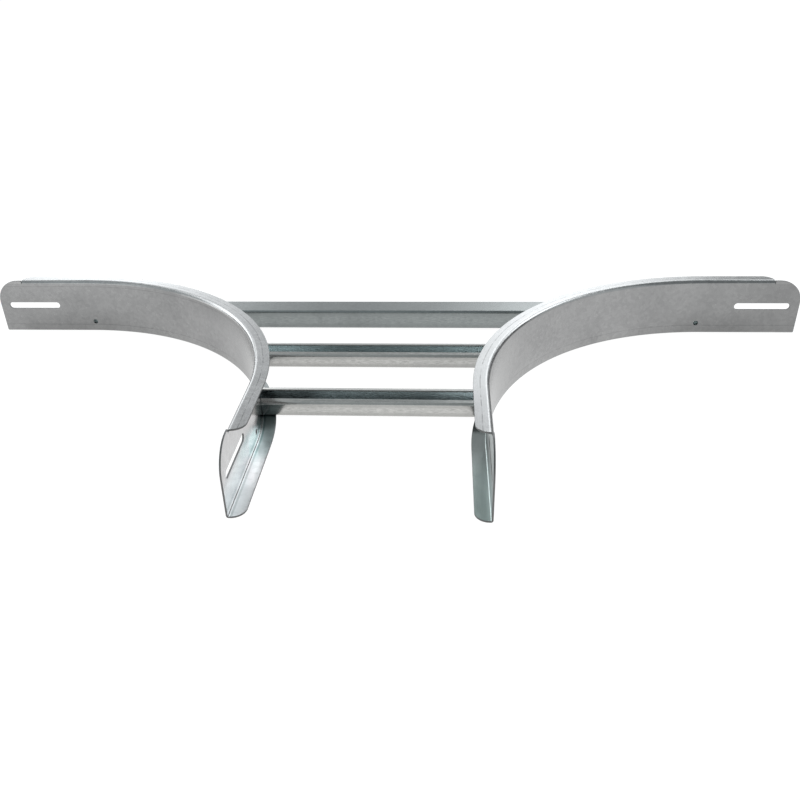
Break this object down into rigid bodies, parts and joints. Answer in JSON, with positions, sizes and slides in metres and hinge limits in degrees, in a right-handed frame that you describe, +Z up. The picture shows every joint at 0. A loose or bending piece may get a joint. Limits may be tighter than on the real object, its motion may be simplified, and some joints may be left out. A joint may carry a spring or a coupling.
{
  "type": "cable ladder tee",
  "caption": "Add-on tee for a cable ladder: bent C-section side rails with slotted ends, tied by channel rungs, to lead cables off a main run into a branch.",
  "frame": {"origin": "middle of the overall box, on the underside of the bottom flanges", "axes": "+X along the main run, from the left tip to the right tip; +Y from the branch end to the mouth; +Z up"},
  "size_m": [0.88, 0.375, 0.06],
  "materials": {
    "rail_sheet": "galvanised sheet with a fine mottled spangle, satin",
    "rung_strip": "galvanised strip with fine lengthwise streaks, satin"
  },
  "bodies": {
    "root": {"left_rail": "rail_sheet", "right_rail": "rail_sheet", "front_rung": "rung_strip", "middle_rung": "rung_strip", "rear_rung": "rung_strip"}
  },
  "joints": []
}
